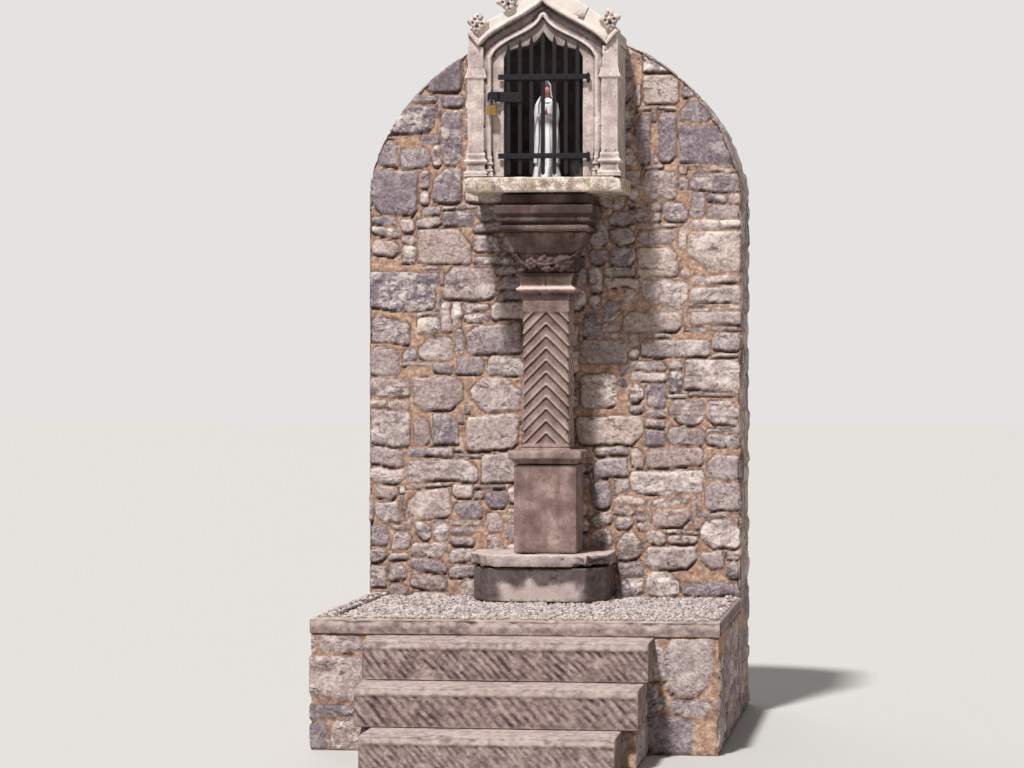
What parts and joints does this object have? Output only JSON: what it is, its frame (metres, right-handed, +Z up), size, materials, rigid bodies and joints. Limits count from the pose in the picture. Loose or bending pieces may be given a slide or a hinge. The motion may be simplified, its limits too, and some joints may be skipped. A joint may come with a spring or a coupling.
{
  "type": "wayside shrine",
  "caption": "Wayside shrine: stone tabernacle with an iron grille on a carved column, before a round-headed rubble wall with terrace and steps.",
  "frame": {"origin": "centre of the wall's bottom face, on the ground", "axes": "+Z up, -Y from the wall towards the steps and the viewer, +X to the viewer's right"},
  "size_m": [1.75, 2.923, 3.5408],
  "materials": {
    "rubble_stone": "rough quarry-faced limestone in lime mortar",
    "step_stone": "tooled stone, weathered",
    "gravel": "loose crushed stone",
    "bench_stone": "tooled stone with worn edges",
    "column_stone": "carved limestone, stained",
    "tabernacle_stone": "carved pale limestone",
    "wrought_iron": "forged, black with a little rust",
    "lock_brass": "worn",
    "shackle_steel": "polished rod",
    "white_plaster": "painted plaster, satin",
    "painted_skin": "painted plaster, satin"
  },
  "bodies": {
    "shrine": {"rubble_wall": "rubble_stone", "terrace_core": "rubble_stone", "side_kerbs": "step_stone", "front_curb": "step_stone", "gravel_bed": "gravel", "step_core": "rubble_stone", "upper_step": "step_stone", "middle_step": "step_stone", "bottom_step": "step_stone", "bench_block": "bench_stone", "bench_slab": "bench_stone", "column_pedestal": "column_stone", "column_base": "column_stone", "column_shaft": "column_stone", "column_neck": "column_stone", "foliate_capital": "column_stone", "abacus": "column_stone", "bed_stone": "column_stone", "sill_slab": "tabernacle_stone", "left_jamb": "tabernacle_stone", "right_jamb": "tabernacle_stone", "left_side_wall": "tabernacle_stone", "right_side_wall": "tabernacle_stone", "back_slab": "tabernacle_stone", "gable_head": "tabernacle_stone", "hood_mould": "tabernacle_stone", "left_roof_slab": "tabernacle_stone", "right_roof_slab": "tabernacle_stone", "gable_finial": "tabernacle_stone", "left_kneeler_crocket": "tabernacle_stone", "left_slope_crocket": "tabernacle_stone", "right_kneeler_crocket": "tabernacle_stone", "broken_crocket_stump": "tabernacle_stone", "statue_foot": "white_plaster", "statue_robe": "white_plaster", "statue_mantle": "white_plaster", "statue_head": "painted_skin", "statue_hands": "painted_skin", "hinge_pintles": "wrought_iron", "lock_staple": "wrought_iron"},
    "grille_door": {"grille_bars": "wrought_iron", "grille_rails": "wrought_iron", "hasp_strap": "wrought_iron"},
    "padlock": {"padlock_body": "lock_brass", "padlock_shackle": "shackle_steel"}
  },
  "joints": [
    {"name": "grille_hinge", "type": "hinge", "parent": "shrine", "child": "grille_door", "pos_m": [0.206, -0.737, 2.75], "axis": [0, 0, 1], "range_deg": [0, 100]},
    {"name": "padlock_swing", "type": "hinge", "parent": "grille_door", "child": "padlock", "pos_m": [-0.2295, -0.76, 2.82975], "axis": [-1, 0, 0], "range_deg": [0, 60]}
  ]
}
